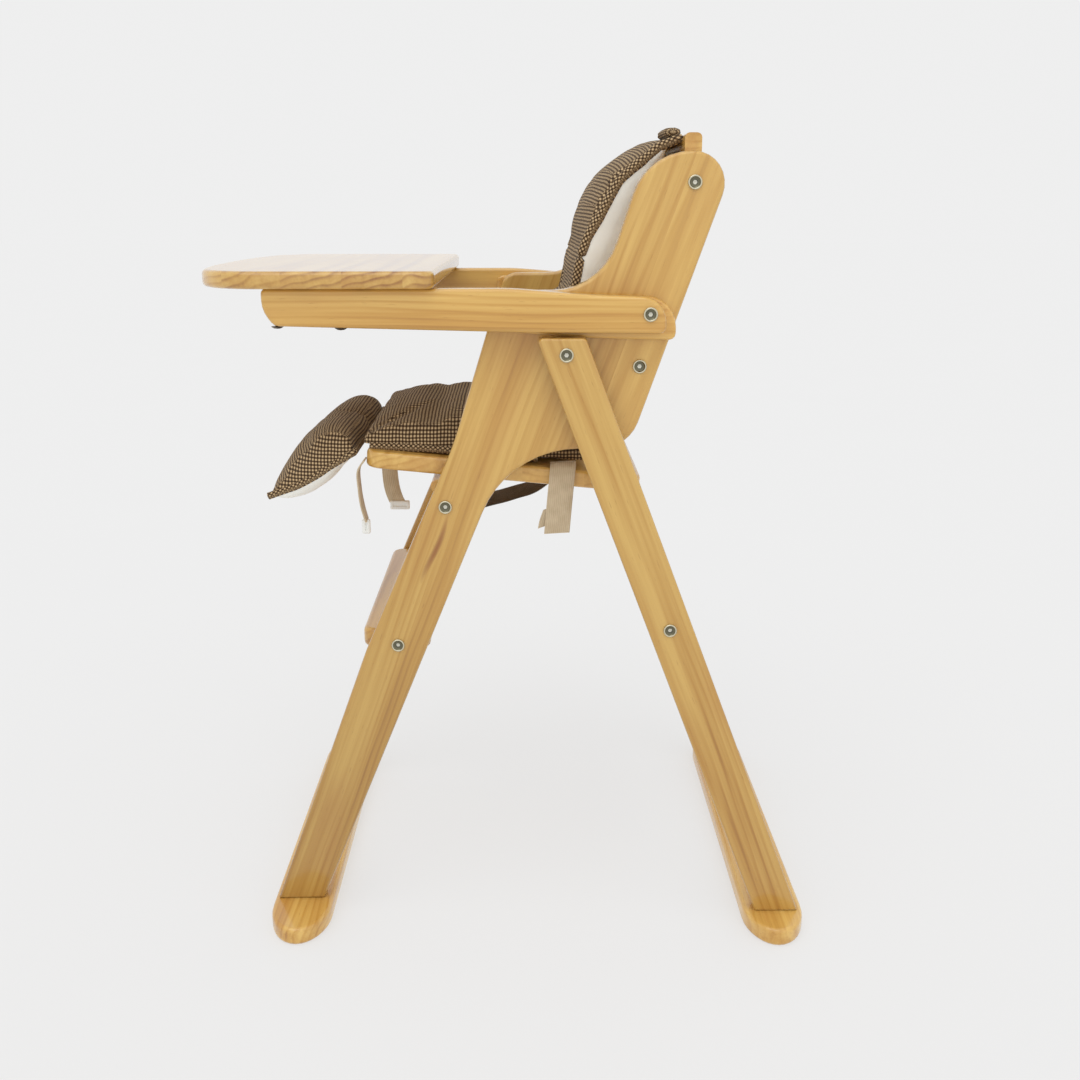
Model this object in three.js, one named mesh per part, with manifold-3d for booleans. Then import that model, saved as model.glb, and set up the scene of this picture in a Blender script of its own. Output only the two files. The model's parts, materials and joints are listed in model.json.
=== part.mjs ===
// Folding wooden baby high chair: two side panels with the front legs, a pair of folding rear legs,
// a flip-over tray on two arms, and a seat with a padded cushion.
// Millimetres, +Z up, +X is the child's left, the child faces -Y, the floor is Z = 0.

import * as THREE from "three";
import { mergeVertices } from "three/addons/utils/BufferGeometryUtils.js";
import Module from "manifold-3d";

const wasm = await Module();
wasm.setup();

// ---------------------------------------------------------------- driving dimensions

const GAP = 0.3; // clearance kept between pieces that touch
const CHORD_ERROR = 0.3; // how far a rounded corner's straight steps may stray from its arc
const EDGE = 4; // rounding along the edges of the boards

const FRONT_BAR = { y: -280, length: 512 }; // floor bars, across the chair
const REAR_BAR = { y: 293, length: 530 };
const BAR_WIDTH = 72;
const BAR_END = 56; // length of the half ellipse at each end of a floor bar
const BAR_HEIGHT = 22;

const PANEL_INNER = 170; // half the width between the side panels
const PANEL_OUTER = 192;
const RAIL_OUTER = 203;
const LEG_INNER = 204.5; // rear legs and tray arms share one layer
const LEG_OUTER = 225.5;

const LEG_PIVOT = { y: 38, z: 691 };
const ARM_PIVOT = { y: 125, z: 733 };
const LEG_SLOPE = 0.3835; // run of a rear leg per unit of height
const REAR_LEG_RUN = 52; // width of a rear leg, measured along the floor
const REAR_LEG_TOP = 708.5;
const REAR_RAIL_BOLT = { y: 156, z: 384 };

const TRAY_HALF_WIDTH = 240;
const TRAY_FRONT_Y = -361;
const TRAY_REAR_Y = -98;
const TRAY_BOTTOM = 759.5;
const TRAY_THICKNESS = 18;

const SEAT_FRONT = { y: -185, z: 578 }; // top of the seat board's front edge
const SEAT_LENGTH = 312;
const SEAT_TILT = 5.6; // degrees, down towards the rear
const SEAT_THICKNESS = 20;
const SEAT_HALF_WIDTH = 166;

const UPPER_BACK_BOLT = { y: 171, z: 865 };
const LOWER_BACK_BOLT = { y: 118, z: 675 };
const SEAT_RAIL_BOLT = { y: -95, z: 519 };
const FOOTREST_BOLT = { y: -153, z: 355 };

const FOOTREST_FRONT_Y = -197;
const FOOTREST_REAR_Y = -118;
const FOOTREST_BELOW = 13; // underside and top, measured from the bolts
const FOOTREST_ABOVE = 11;

const BOLT_RADIUS = 3;
const BOLT_HEAD_RADIUS = 7.6;
const BOLT_LENGTH = 50;
const BORE_DEPTH = 32; // of the bolt holes in the ends of the cross boards
const BUSH_RADIUS = 6;
const SPACER_RADIUS = 14;
const SCREW_RADIUS = 2.2;
const SCREW_HEAD_RADIUS = 6.5;
const TRAY_SCREWS = { front: { y: -264, z: 720.6 }, rear: { y: -198, z: 719 } };
const SCREW_TOP = TRAY_BOTTOM + 12;
const SCREW_REACH = 60;
const ARM_MIDDLE = (LEG_INNER + LEG_OUTER) / 2;
const HALF_SPAN = 300; // safely beyond either side of the chair

const CUSHION_HALF_WIDTH = 155;
const WEBBING_THICKNESS = 2;
const STRAP_WIDTH = 20;

// ---------------------------------------------------------------- materials

function finish(colour, roughness, metalness = 0) {
  return new THREE.MeshStandardMaterial({ color: colour, roughness, metalness });
}

const PINE = finish(0xd9ab62, 0.35);
const NICKEL = finish(0xc9c3a6, 0.25, 1);
const NYLON = finish(0xe8e6df, 0.5);
const CHECK_FABRIC = finish(0x7a6248, 0.95);
const WEBBING = finish(0xd8c3a2, 0.9);
const DARK_WEBBING = finish(0x40372b, 0.8);
const WHITE_PLASTIC = finish(0xf2f2ee, 0.4);

// ---------------------------------------------------------------- shape helpers

// A closed outline from corners [x, y, radius]; each corner is rounded by a true arc.
function roundedOutline(corners) {
  const points = [];
  corners.forEach(([x, y, radius = 0], i) => {
    const corner = new THREE.Vector2(x, y);
    if (radius === 0) {
      points.push(corner);
      return;
    }
    const before = corners[(i + corners.length - 1) % corners.length];
    const after = corners[(i + 1) % corners.length];
    const back = new THREE.Vector2(before[0] - x, before[1] - y).normalize();
    const ahead = new THREE.Vector2(after[0] - x, after[1] - y).normalize();
    const half = Math.acos(THREE.MathUtils.clamp(back.dot(ahead), -1, 1)) / 2;
    const towardsCentre = back.clone().add(ahead).normalize();
    const centre = corner.clone().addScaledVector(towardsCentre, radius / Math.sin(half));
    const first = corner.clone().addScaledVector(back, radius / Math.tan(half));
    const turn = Math.PI - 2 * half;
    const sense = Math.sign(back.x * ahead.y - back.y * ahead.x) * -1;
    const step = 2 * Math.acos(1 - CHORD_ERROR / Math.max(radius, 1));
    const count = Math.max(2, Math.ceil(turn / step));
    for (let k = 0; k <= count; k += 1) {
      points.push(first.clone().rotateAround(centre, (sense * turn * k) / count));
    }
  });
  return new THREE.Shape(points);
}

// Extrudes an outline between two levels, with its long edges rounded.
function slab(shape, low, high, edge = EDGE, edgeSteps = 2) {
  const rounded = edge > 0;
  const geometry = new THREE.ExtrudeGeometry(shape, {
    depth: high - low - 2 * edge,
    bevelEnabled: rounded,
    bevelSize: edge,
    bevelOffset: -edge,
    bevelThickness: edge,
    bevelSegments: edgeSteps,
    steps: 1,
    curveSegments: 1,
  });
  return geometry.translate(0, 0, low + edge);
}

// Stands a slab drawn in plan (x = along Y, y = along Z) across the chair, extruded along X.
const ACROSS = new THREE.Matrix4().makeBasis(
  new THREE.Vector3(0, 1, 0),
  new THREE.Vector3(0, 0, 1),
  new THREE.Vector3(1, 0, 0),
);

function sideSlab(corners, low, high, edge = EDGE) {
  return slab(roundedOutline(corners), low, high, edge).applyMatrix4(ACROSS);
}

// A rod or ring about the X axis, from a closed profile of [position along X, radius].
function turned(profile, segments = 14) {
  const points = profile.map(([along, radius]) => new THREE.Vector2(radius, along));
  const geometry = new THREE.LatheGeometry(points, segments);
  return geometry.rotateZ(-Math.PI / 2);
}

// The bare surface with its shared corners joined.
function welded(geometry) {
  const bare = new THREE.BufferGeometry();
  bare.setAttribute("position", geometry.attributes.position.clone());
  bare.setIndex(geometry.index);
  return mergeVertices(bare, 1e-4);
}

function solid(geometry) {
  const surface = welded(geometry);
  return new wasm.Manifold(
    new wasm.Mesh({
      numProp: 3,
      vertProperties: new Float32Array(surface.attributes.position.array),
      triVerts: new Uint32Array(surface.index.array),
    }),
  );
}

function toGeometry(manifold) {
  const result = manifold.getMesh();
  const geometry = new THREE.BufferGeometry();
  geometry.setAttribute("position", new THREE.BufferAttribute(new Float32Array(result.vertProperties), 3));
  geometry.setIndex(new THREE.BufferAttribute(new Uint32Array(result.triVerts), 1));
  geometry.computeVertexNormals();
  return geometry;
}

// Drills holes along X; each hole is {y, z, radius, from, to}, and goes right through when from is left out.
function drilled(geometry, holes) {
  let body = solid(geometry);
  for (const { y, z, radius, from = -HALF_SPAN, to = HALF_SPAN } of holes) {
    const drill = new THREE.CylinderGeometry(radius, radius, to - from, 16).rotateZ(Math.PI / 2);
    body = body.subtract(solid(drill.translate((from + to) / 2, y, z)));
  }
  return toGeometry(body);
}

// The same piece for the other side: reflected in X, with every triangle turned back to face outward.
function mirrored(geometry) {
  const surface = welded(geometry).scale(-1, 1, 1);
  const corners = surface.index.array;
  for (let k = 0; k < corners.length; k += 3) {
    [corners[k], corners[k + 1]] = [corners[k + 1], corners[k]];
  }
  surface.computeVertexNormals();
  return surface;
}

const chair = new THREE.Group();

function add(name, geometry, material) {
  const mesh = new THREE.Mesh(geometry, material);
  mesh.name = name;
  chair.add(mesh);
  return mesh;
}

function addPair(name, build, material) {
  add(`${name}_left`, build(), material);
  add(`${name}_right`, mirrored(build()), material);
}

const boltHole = ({ y, z }) => ({ y, z, radius: BOLT_RADIUS + GAP });

// Blind holes in the two ends of a board that lies between the sides.
function endHoles(place, end) {
  const hole = boltHole(place);
  return [
    { ...hole, from: end - BORE_DEPTH, to: HALF_SPAN },
    { ...hole, from: -HALF_SPAN, to: BORE_DEPTH - end },
  ];
}

// ---------------------------------------------------------------- side panels and floor bars

// One board: the front leg below, the panel beside the seat, and the post of the backrest.
function sidePanel() {
  const outline = [
    [-311, BAR_HEIGHT + GAP, 0],
    [-255, BAR_HEIGHT + GAP, 0],
    [-24, 584, 116],
    [108, 584, 44],
    [216, 896, 33],
    [122, 896, 62],
    [76, 755, 72],
    [-33, 755, 22],
    [-85, 588, 300],
    [-190, 349, 400],
  ];
  const board = sideSlab(outline, PANEL_INNER, PANEL_OUTER);
  const places = [UPPER_BACK_BOLT, LOWER_BACK_BOLT, SEAT_RAIL_BOLT, FOOTREST_BOLT, LEG_PIVOT, ARM_PIVOT];
  return drilled(board, places.map(boltHole));
}

// A floor bar lies across the chair and its ends are half ellipses.
function floorBar({ y, length }) {
  const straight = length / 2 - BAR_END;
  const outline = new THREE.Shape();
  outline.absellipse(straight, y, BAR_END, BAR_WIDTH / 2, -Math.PI / 2, Math.PI / 2);
  outline.absellipse(-straight, y, BAR_END, BAR_WIDTH / 2, Math.PI / 2, 1.5 * Math.PI);
  return slab(new THREE.Shape(outline.getPoints(8)), 0, BAR_HEIGHT, 5, 3);
}

addPair("side_panel", sidePanel, PINE);
add("front_floor_bar", floorBar(FRONT_BAR), PINE);

// ---------------------------------------------------------------- seat, footrest and backrest boards

function seatBoard() {
  const w = SEAT_HALF_WIDTH;
  const outline = [
    [-w, 0, 18],
    [w, 0, 18],
    [w, SEAT_LENGTH, 12],
    [-w, SEAT_LENGTH, 12],
  ];
  const board = slab(roundedOutline(outline), -SEAT_THICKNESS, 0, EDGE, 2);
  board.rotateX(THREE.MathUtils.degToRad(-SEAT_TILT));
  return board.translate(0, SEAT_FRONT.y, SEAT_FRONT.z);
}

// A board across the chair, centred on its bolts, with its top leaning back by a number of degrees.
function crossBoard(place, height, thickness, lean, end = PANEL_INNER) {
  const u = thickness / 2;
  const v = height / 2;
  const outline = [
    [-u, -v, 5],
    [u, -v, 5],
    [u, v, 5],
    [-u, v, 5],
  ];
  const board = slab(roundedOutline(outline), GAP - end, end - GAP, 0);
  board.rotateZ(THREE.MathUtils.degToRad(-lean));
  board.applyMatrix4(ACROSS).translate(0, place.y, place.z);
  return drilled(board, endHoles(place, end));
}

function footrest() {
  const w = PANEL_INNER - GAP;
  const outline = [
    [-w, FOOTREST_FRONT_Y, 16],
    [w, FOOTREST_FRONT_Y, 16],
    [w, FOOTREST_REAR_Y, 8],
    [-w, FOOTREST_REAR_Y, 8],
  ];
  const underside = FOOTREST_BOLT.z - FOOTREST_BELOW;
  const board = slab(roundedOutline(outline), underside, FOOTREST_BOLT.z + FOOTREST_ABOVE, 6, 3);
  return drilled(board, endHoles(FOOTREST_BOLT, PANEL_INNER));
}

add("seat_board", seatBoard(), PINE);
add("seat_front_rail", crossBoard(SEAT_RAIL_BOLT, 56, 20, -20), PINE);
add("footrest", footrest(), PINE);
add("back_board_upper", crossBoard(UPPER_BACK_BOLT, 100, 18, 0), PINE);
add("back_board_lower", crossBoard(LOWER_BACK_BOLT, 84, 18, 18), PINE);

// ---------------------------------------------------------------- armrest rails

function armrestRail() {
  const outline = [
    [-44, 714.5, 8],
    [60, 706.5, 200],
    [155, 704, 7],
    [155, 750, 33],
    [-44, 750, 8],
  ];
  const board = sideSlab(outline, PANEL_OUTER + GAP, RAIL_OUTER, 3);
  return drilled(board, [boltHole(ARM_PIVOT)]);
}

addPair("armrest_rail", armrestRail, PINE);

// ---------------------------------------------------------------- rear legs

function rearLeg() {
  const foot = BAR_HEIGHT + GAP;
  const top = LEG_PIVOT.y - 31.5;
  const bottom = top + LEG_SLOPE * (REAR_LEG_TOP - foot);
  const outline = [
    [bottom, foot, 0],
    [bottom + REAR_LEG_RUN, foot, 0],
    [top + REAR_LEG_RUN, REAR_LEG_TOP, 4.5],
    [top, REAR_LEG_TOP, 4.5],
  ];
  const board = sideSlab(outline, LEG_INNER, LEG_OUTER, 3);
  return drilled(board, [boltHole(LEG_PIVOT), boltHole(REAR_RAIL_BOLT)]);
}

// A ring on the leg's pivot bolt fills the space between the side panel and the leg.
function legSpacer() {
  const inner = BOLT_RADIUS + GAP;
  const profile = [
    [PANEL_OUTER + GAP, inner],
    [PANEL_OUTER + GAP, SPACER_RADIUS],
    [LEG_INNER - GAP, SPACER_RADIUS],
    [LEG_INNER - GAP, inner],
    [PANEL_OUTER + GAP, inner],
  ];
  return turned(profile).translate(0, LEG_PIVOT.y, LEG_PIVOT.z);
}

addPair("rear_leg", rearLeg, PINE);
add("rear_floor_bar", floorBar(REAR_BAR), PINE);
add("rear_cross_rail", crossBoard(REAR_RAIL_BOLT, 60, 20, -21, LEG_INNER), PINE);
addPair("leg_spacer", legSpacer, NYLON);

// ---------------------------------------------------------------- tray frame

function trayArm() {
  const outline = [
    [-278, 737, 30],
    [-266, 721, 10],
    [10, 714, 300],
    [142, 713, 6],
    [142, 750, 26],
    [60, 753, 250],
    [-20, TRAY_BOTTOM - GAP, 250],
    [-278, TRAY_BOTTOM - GAP, 5],
  ];
  const board = sideSlab(outline, LEG_INNER, LEG_OUTER);
  return screwHoled(drilled(board, [{ ...ARM_PIVOT, radius: BUSH_RADIUS + GAP }]));
}

// The tray's front edge is bowed and its rear edge is straight between small corners.
function tray() {
  const w = TRAY_HALF_WIDTH;
  const outline = [
    [-w, TRAY_REAR_Y, 14],
    [-w, TRAY_FRONT_Y + 24, 74],
    [-110, TRAY_FRONT_Y, 700],
    [110, TRAY_FRONT_Y, 700],
    [w, TRAY_FRONT_Y + 24, 74],
    [w, TRAY_REAR_Y, 14],
  ];
  const board = slab(roundedOutline(outline), TRAY_BOTTOM, TRAY_BOTTOM + TRAY_THICKNESS, 5, 3);
  return screwHoled(board);
}

// Clear holes for the screws that come up through the arms into the tray.
function screwHoled(board) {
  let body = solid(board);
  for (const { y } of Object.values(TRAY_SCREWS)) {
    for (const side of [1, -1]) {
      const hole = new THREE.CylinderGeometry(SCREW_RADIUS + GAP, SCREW_RADIUS + GAP, 2 * SCREW_REACH, 12);
      hole.rotateX(Math.PI / 2).translate(side * ARM_MIDDLE, y, SCREW_TOP - SCREW_REACH + GAP);
      body = body.subtract(solid(hole));
    }
  }
  return toGeometry(body);
}

addPair("tray_arm", trayArm, PINE);
add("tray", tray(), PINE);

// ---------------------------------------------------------------- fasteners

// A bolt with a dished round head and a socket, its head against the face at X = seat.
function bolt(place, seat) {
  const head = seat + GAP;
  const profile = [
    [head - BOLT_LENGTH, 0],
    [head - BOLT_LENGTH, BOLT_RADIUS],
    [head, BOLT_RADIUS],
    [head, BOLT_HEAD_RADIUS],
    [head + 1.2, BOLT_HEAD_RADIUS],
    [head + 2, BOLT_HEAD_RADIUS - 1.2],
    [head + 1, 4.6],
    [head + 1, 2.4],
    [head - 1.5, 2.4],
    [head - 1.5, 0],
  ];
  return turned(profile).translate(0, place.y, place.z);
}

// A sleeve on the pivot bolt that the tray arm turns on.
function armBush() {
  const inner = BOLT_RADIUS + GAP;
  const profile = [
    [RAIL_OUTER + GAP, inner],
    [RAIL_OUTER + GAP, BUSH_RADIUS + 3],
    [LEG_INNER - GAP, BUSH_RADIUS + 3],
    [LEG_INNER - GAP, BUSH_RADIUS],
    [LEG_OUTER, BUSH_RADIUS],
    [LEG_OUTER, inner],
    [RAIL_OUTER + GAP, inner],
  ];
  return turned(profile).translate(0, ARM_PIVOT.y, ARM_PIVOT.z);
}

const BOLTS = {
  back_upper_bolt: [UPPER_BACK_BOLT, PANEL_OUTER],
  back_lower_bolt: [LOWER_BACK_BOLT, PANEL_OUTER],
  seat_rail_bolt: [SEAT_RAIL_BOLT, PANEL_OUTER],
  footrest_bolt: [FOOTREST_BOLT, PANEL_OUTER],
  rear_rail_bolt: [REAR_RAIL_BOLT, LEG_OUTER],
  leg_pivot_bolt: [LEG_PIVOT, LEG_OUTER],
  arm_pivot_bolt: [ARM_PIVOT, LEG_OUTER],
};
for (const [name, [place, seat]] of Object.entries(BOLTS)) {
  addPair(name, () => bolt(place, seat), NICKEL);
}
addPair("arm_bush", armBush, NYLON);

// A screw up through the tray arm into the tray, with a low domed head under the arm.
function trayScrew({ y, z }) {
  const points = [
    [0, -2.8],
    [4, -2.2],
    [SCREW_HEAD_RADIUS, -0.6],
    [SCREW_HEAD_RADIUS, -GAP],
    [SCREW_RADIUS, -GAP],
    [SCREW_RADIUS, SCREW_TOP - z],
    [0, SCREW_TOP - z],
  ].map(([radius, height]) => new THREE.Vector2(radius, height));
  const screw = new THREE.LatheGeometry(points, 12).rotateX(Math.PI / 2);
  return screw.translate(ARM_MIDDLE, y, z);
}

for (const [end, place] of Object.entries(TRAY_SCREWS)) {
  addPair(`tray_screw_${end}`, () => trayScrew(place), NICKEL);
}

// ---------------------------------------------------------------- cushion

// Side outlines of the padded cushion's three parts, as [y, z, corner radius].
const SEAT_PAD = [
  [-196, 581, 11],
  [76, 554, 14],
  [76, 594, 18],
  [-85, 622, 80],
  [-165, 617, 50],
  [-196, 605, 12],
];
const BACK_PAD = [
  [-78, 629, 16],
  [82, 600, 16],
  [150, 845, 60],
  [157, 924, 15],
  [119, 913, 60],
  [74, 881, 60],
  [52, 845, 60],
  [33, 742, 60],
  [-52, 690, 20],
];
const LEG_FLAP = [
  [-199, 566, 8],
  [-199, 603, 10],
  [-236, 605, 34],
  [-273, 580, 60],
  [-304, 522, 7],
  [-291, 509, 7],
  [-258, 517, 40],
];

function cushionPad(corners, edge) {
  return sideSlab(corners, -CUSHION_HALF_WIDTH, CUSHION_HALF_WIDTH, edge);
}

add("seat_cushion", cushionPad(SEAT_PAD, 10), CHECK_FABRIC);
add("back_cushion", cushionPad(BACK_PAD, 14), CHECK_FABRIC);
add("leg_flap_cushion", cushionPad(LEG_FLAP, 5), CHECK_FABRIC);

// ---------------------------------------------------------------- webbing

// A flat strap whose centre line is a list of [y, z] or [x, z] points, given a width along the other axis.
function webbingStrip(centreLine, width, thickness = WEBBING_THICKNESS) {
  const left = [];
  const right = [];
  centreLine.forEach(([u, v], i) => {
    const before = centreLine[Math.max(0, i - 1)];
    const after = centreLine[Math.min(centreLine.length - 1, i + 1)];
    const along = new THREE.Vector2(after[0] - before[0], after[1] - before[1]).normalize();
    left.push(new THREE.Vector2(u - (along.y * thickness) / 2, v + (along.x * thickness) / 2));
    right.push(new THREE.Vector2(u + (along.y * thickness) / 2, v - (along.x * thickness) / 2));
  });
  return slab(new THREE.Shape([...left, ...right.reverse()]), -width / 2, width / 2, 0);
}

// Side view: the dark band from the seat's front rail up to the underside of the seat board.
const LIMIT_BAND = [[-82, 470], [-60, 478], [10, 500], [45, 528]];
add("limit_strap", webbingStrip(LIMIT_BAND, 70).applyMatrix4(ACROSS), DARK_WEBBING);

// A small rectangular plate that stands in the side view, centred on [x, y, z].
function plate(width, height, radius, [x, y, z]) {
  const u = width / 2;
  const v = height / 2;
  const outline = [
    [-u, -v, radius],
    [u, -v, radius],
    [u, v, radius],
    [-u, v, radius],
  ];
  return slab(roundedOutline(outline), -3, 3, 1, 1).applyMatrix4(ACROSS).translate(x, y, z);
}

// Two waist straps hang at the front of the seat: one ends in a buckle half and one in an adjuster.
const BUCKLE_STRAP = [[-190, 562], [-196, 545], [-194, 515], [-190, 498]];
const BUCKLE_STRAP_X = 155;
const buckleStrap = webbingStrip(BUCKLE_STRAP, STRAP_WIDTH).applyMatrix4(ACROSS);
add("buckle_strap", buckleStrap.translate(BUCKLE_STRAP_X, 0, 0), WEBBING);
add("waist_buckle", plate(16, 18, 3, [BUCKLE_STRAP_X, -189, 488]), WHITE_PLASTIC);

// A centre line drawn as [x, z] gives a strap whose width lies along Y.
const SIDEWAYS = new THREE.Matrix4().makeBasis(
  new THREE.Vector3(1, 0, 0),
  new THREE.Vector3(0, 0, 1),
  new THREE.Vector3(0, -1, 0),
);
const ADJUSTER_STRAP = [[60, 545], [60, 520], [61, 495]];
const adjusterStrap = webbingStrip(ADJUSTER_STRAP, STRAP_WIDTH).applyMatrix4(SIDEWAYS);
add("adjuster_strap", adjusterStrap.translate(0, -171, 0), WEBBING);
add("strap_adjuster", plate(26, 12, 2, [61, -171, 488.5]), NYLON);

const REAR_STRAP = [[156.5, 562], [168.5, 562], [172, 545], [174, 515], [172, 480]];
const rearStrap = webbingStrip(REAR_STRAP, 26).applyMatrix4(SIDEWAYS);
add("rear_strap", rearStrap.translate(0, 34, 0), WEBBING);

// The origin is under the middle of the object's length.
const extent = new THREE.Box3().setFromObject(chair);
chair.position.y = -(extent.min.y + extent.max.y) / 2;

export default chair;
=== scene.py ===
"""A folding wooden baby high chair with a padded check cushion.

Lengths are metres, and side-view points are millimetres until side() turns them into metres.
The chair faces -Y, and +X is the child's left.
"""

import json
import math

import bmesh
import bpy
import numpy as np
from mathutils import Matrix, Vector, noise


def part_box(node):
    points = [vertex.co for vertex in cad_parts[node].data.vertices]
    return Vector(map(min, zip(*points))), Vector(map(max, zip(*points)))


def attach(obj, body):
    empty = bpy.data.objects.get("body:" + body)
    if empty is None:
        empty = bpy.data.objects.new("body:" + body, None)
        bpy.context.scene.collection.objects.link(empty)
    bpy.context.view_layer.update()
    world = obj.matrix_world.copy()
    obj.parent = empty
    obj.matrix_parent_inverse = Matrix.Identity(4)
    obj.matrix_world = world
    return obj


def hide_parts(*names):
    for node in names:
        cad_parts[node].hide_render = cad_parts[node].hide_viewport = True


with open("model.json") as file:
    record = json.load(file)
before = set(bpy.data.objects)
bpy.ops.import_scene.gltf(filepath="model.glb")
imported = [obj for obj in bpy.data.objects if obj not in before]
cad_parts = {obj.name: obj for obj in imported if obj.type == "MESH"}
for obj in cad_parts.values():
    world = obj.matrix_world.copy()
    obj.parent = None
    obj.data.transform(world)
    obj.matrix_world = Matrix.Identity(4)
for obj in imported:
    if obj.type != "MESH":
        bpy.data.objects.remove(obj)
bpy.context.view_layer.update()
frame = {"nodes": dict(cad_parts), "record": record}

BODY_OF = {node: body for body, nodes in frame["record"]["behaviour"]["bodies"].items() for node in nodes}
SHIFT = 0.016  # from the side drawings' Y to the frame's Y


def side(points):
    """Side-view points, [y, z] in millimetres, as metres in the frame."""
    return [(y / 1000 + SHIFT, z / 1000) for y, z in points]


# ---------------------------------------------------------------- shader helpers


class Shader:
    """A material's node tree, with short ways to add the nodes used here."""

    def __init__(self, name, roughness, **fixed):
        self.material = bpy.data.materials.new(name)
        self.material.use_nodes = True
        self.tree = self.material.node_tree
        self.bsdf = self.tree.nodes["Principled BSDF"]
        self.bsdf.inputs["Roughness"].default_value = roughness
        for socket, value in fixed.items():
            self.bsdf.inputs[socket.replace("_", " ")].default_value = value

    def node(self, kind, *values, **settings):
        made = self.tree.nodes.new("ShaderNode" + kind)
        for key, value in settings.items():
            setattr(made, key, value)
        for socket, value in zip(made.inputs, values):
            self.put(socket, value)
        return made

    def put(self, socket, value):
        if isinstance(value, bpy.types.NodeSocket):
            self.tree.links.new(value, socket)
        elif value is not None:
            socket.default_value = value

    def math(self, operation, a, b=0.0, c=0.0):
        return self.node("Math", a, b, c, operation=operation).outputs[0]

    def dot(self, vector, direction):
        return self.node("VectorMath", vector, tuple(direction), operation="DOT_PRODUCT").outputs["Value"]

    def combine(self, x, y, z=0.0):
        return self.node("CombineXYZ", x, y, z).outputs[0]

    def noise(self, vector, scale, detail=2.0, roughness=0.5):
        made = self.node("TexNoise")
        self.put(made.inputs["Vector"], vector)
        made.inputs["Scale"].default_value = scale
        made.inputs["Detail"].default_value = detail
        made.inputs["Roughness"].default_value = roughness
        return made.outputs[0]

    def remap(self, value, low, high, to_low=0.0, to_high=1.0):
        return self.node("MapRange", value, low, high, to_low, to_high).outputs[0]

    def ramp(self, value, stops):
        made = self.node("ValToRGB", value)
        elements = made.color_ramp.elements
        while len(elements) < len(stops):
            elements.new(0.5)
        for element, (position, colour) in zip(elements, stops):
            element.position = position
            element.color = (*colour, 1)
        return made.outputs[0]

    def mix(self, factor, a, b):
        made = self.node("Mix", data_type="RGBA")
        self.put(made.inputs[0], factor)
        for socket, value in ((made.inputs[6], a), (made.inputs[7], b)):
            self.put(socket, (*value, 1) if isinstance(value, tuple) else value)
        return made.outputs[2]

    def colour(self, value):
        self.put(self.bsdf.inputs["Base Color"], value)

    def bump(self, height, distance, strength=1.0):
        made = self.node("Bump")
        made.inputs["Strength"].default_value = strength
        made.inputs["Distance"].default_value = distance
        self.put(made.inputs["Height"], height)
        self.put(self.bsdf.inputs["Normal"], made.outputs[0])


# ---------------------------------------------------------------- wood

PALE = (0.74, 0.47, 0.125)
HONEY = (0.56, 0.295, 0.055)
AMBER = (0.30, 0.105, 0.012)
ORANGE = (0.52, 0.235, 0.045)
RESIN_BROWN = (0.27, 0.075, 0.008)
RING_WIDTH = 0.0082
RING_PROFILE = [(0.0, 0.1), (0.45, 0.16), (0.80, 0.85), (0.92, 0.55), (1.0, 0.1)]  # early wood to late wood


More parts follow.
